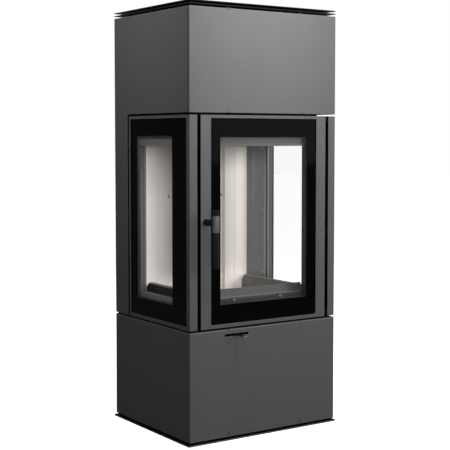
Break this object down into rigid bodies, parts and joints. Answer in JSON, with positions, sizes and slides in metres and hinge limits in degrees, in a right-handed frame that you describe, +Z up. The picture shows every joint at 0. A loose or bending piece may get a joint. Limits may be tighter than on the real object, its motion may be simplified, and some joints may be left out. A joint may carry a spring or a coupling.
{
  "type": "three-sided fireplace",
  "caption": "Free-standing steel-cased wood stove with a glazed front door and fixed glass on both sides, a turning latch handle, an air control and a lift-out grate.",
  "frame": {"origin": "on the floor, under the middle of the casing: the underside of the floor plate", "axes": "+X to the right as seen from the front, +Y from the door to the back, +Z up"},
  "size_m": [0.587, 0.548, 1.383],
  "materials": {
    "grey_paint": "fine-textured powder coat, mid grey",
    "black_paint": "matt black stove paint",
    "stove_steel": "heat-resistant paint on steel plate",
    "dark_paint": "dark matt paint",
    "cast_iron": "sand-cast, painted",
    "cream_ceramic": "pressed ceramic board, matt",
    "brown_stone": "fired clay, matt",
    "printed_glass": "clear ceramic glass with a black printed border",
    "glass_rope": "woven glass rope",
    "brushed_steel": "brushed",
    "zinc_steel": "zinc plated"
  },
  "bodies": {
    "stove": {"floor_plate": "grey_paint", "chassis_frame": "black_paint", "lower_front_panel": "grey_paint", "lower_left_panel": "grey_paint", "lower_right_panel": "grey_paint", "rear_panel": "grey_paint", "upper_front_panel": "grey_paint", "left_side_panel": "grey_paint", "right_side_panel": "grey_paint", "upper_base": "black_paint", "crown_plate": "black_paint", "louvre_plate": "grey_paint", "front_left_spacer": "zinc_steel", "front_right_spacer": "zinc_steel", "rear_spacer": "zinc_steel", "top_plate": "black_paint", "firebox_body": "stove_steel", "left_column": "grey_paint", "right_column": "grey_paint", "flue_collar": "cast_iron", "flue_pipe": "dark_paint", "hearth_plate": "brown_stone", "left_hearth_stone": "brown_stone", "right_hearth_stone": "brown_stone", "ash_pan": "zinc_steel", "left_outer_lining": "cream_ceramic", "left_inner_lining": "cream_ceramic", "centre_lining": "cream_ceramic", "right_inner_lining": "cream_ceramic", "right_outer_lining": "cream_ceramic", "left_corner_panel": "stove_steel", "right_corner_panel": "stove_steel", "log_guard": "stove_steel", "baffle_plate": "cream_ceramic", "left_glass_frame": "grey_paint", "left_glass": "printed_glass", "left_glass_seal": "glass_rope", "right_glass_frame": "grey_paint", "right_glass": "printed_glass", "right_glass_seal": "glass_rope", "lower_hinge_bracket": "black_paint", "upper_hinge_bracket": "black_paint", "lower_hinge_pin": "zinc_steel", "upper_hinge_pin": "zinc_steel", "latch_keeper": "zinc_steel", "air_box": "dark_paint", "air_inlet_spigot": "dark_paint"},
    "door": {"door_frame": "grey_paint", "door_glass": "printed_glass", "door_glass_seal": "glass_rope", "glass_retainer": "black_paint", "door_gasket": "glass_rope"},
    "handle": {"handle_spindle": "black_paint", "handle_sleeve": "brushed_steel", "handle_grip": "black_paint", "handle_cap": "black_paint", "latch_pawl": "zinc_steel"},
    "air_control": {"air_slide": "zinc_steel", "air_lever": "dark_paint"},
    "grate": {"grate": "cast_iron"}
  },
  "joints": [
    {"name": "door_hinge", "type": "hinge", "parent": "stove", "child": "door", "pos_m": [0.253, -0.2345, 0.7], "axis": [0, 0, 1], "range_deg": [0, 100]},
    {"name": "handle_turn", "type": "hinge", "parent": "door", "child": "handle", "pos_m": [-0.22775, -0.239, 0.7], "axis": [0, 1, 0], "range_deg": [0, 75]},
    {"name": "air_slide_travel", "type": "slide", "parent": "stove", "child": "air_control", "axis": [1, 0, 0], "range_m": [-0.037, 0.037]},
    {"name": "grate_lift", "type": "slide", "parent": "stove", "child": "grate", "axis": [0, 0, 1], "range_m": [0, 0.06]}
  ]
}
